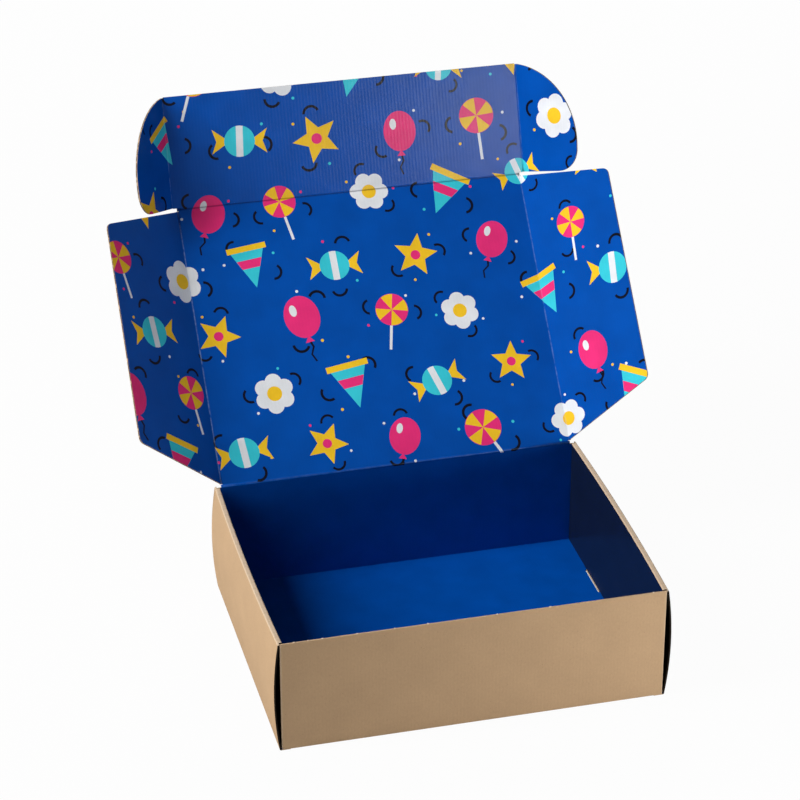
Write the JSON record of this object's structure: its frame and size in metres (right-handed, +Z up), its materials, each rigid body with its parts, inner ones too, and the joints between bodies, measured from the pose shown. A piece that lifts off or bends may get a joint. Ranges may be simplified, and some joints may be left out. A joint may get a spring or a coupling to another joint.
{
  "type": "shipping box",
  "caption": "Roll-end mailer box of thin corrugated board, with a hinged lid, side wings and a tuck flap with rounded ears; kraft outside, printed blue inside.",
  "frame": {"origin": "middle of the tray's underside, on the surface that the box stands on", "axes": "+Z up; +Y from the front wall to the lid's hinge; +X to the right seen from the front"},
  "size_m": [0.3643, 0.3747, 0.3083],
  "materials": {
    "kraft_board": "unbleached kraft liner outside, matt; flat blue ink inside",
    "printed_board": "blue ink with a scattered party print inside, satin; unbleached kraft outside"
  },
  "bodies": {
    "tray": {"tray": "kraft_board"},
    "lid": {"lid_panel": "printed_board"},
    "left_wing": {"left_wing": "printed_board"},
    "right_wing": {"right_wing": "printed_board"},
    "tuck": {"tuck_flap": "printed_board"},
    "left_ear": {"left_ear": "printed_board"},
    "right_ear": {"right_ear": "printed_board"}
  },
  "joints": [
    {"name": "lid_hinge", "type": "hinge", "parent": "tray", "child": "lid", "pos_m": [0, 0.10345, 0.082], "axis": [-1, 0, 0], "range_deg": [-57.9, 47.1]},
    {"name": "left_wing_fold", "type": "hinge", "parent": "lid", "child": "left_wing", "pos_m": [-0.1275, 0.10345, 0.082], "axis": [0, 0.6807, 0.7325], "range_deg": [-37.3, 52.7]},
    {"name": "right_wing_fold", "type": "hinge", "parent": "lid", "child": "right_wing", "pos_m": [0.1275, 0.10345, 0.082], "axis": [0, -0.6807, -0.7325], "range_deg": [-45.2, 44.8]},
    {"name": "tuck_fold", "type": "hinge", "parent": "lid", "child": "tuck", "pos_m": [0, 0.24286, 0.23202], "axis": [1, 0, 0], "range_deg": [-23.1, 0]},
    {"name": "left_ear_fold", "type": "hinge", "parent": "tuck", "child": "left_ear", "pos_m": [-0.131, 0.24286, 0.23202], "axis": [0, 0.3387, 0.9409], "range_deg": [-54, 36]},
    {"name": "right_ear_fold", "type": "hinge", "parent": "tuck", "child": "right_ear", "pos_m": [0.131, 0.24286, 0.23202], "axis": [0, -0.3387, -0.9409], "range_deg": [-50, 40]}
  ]
}
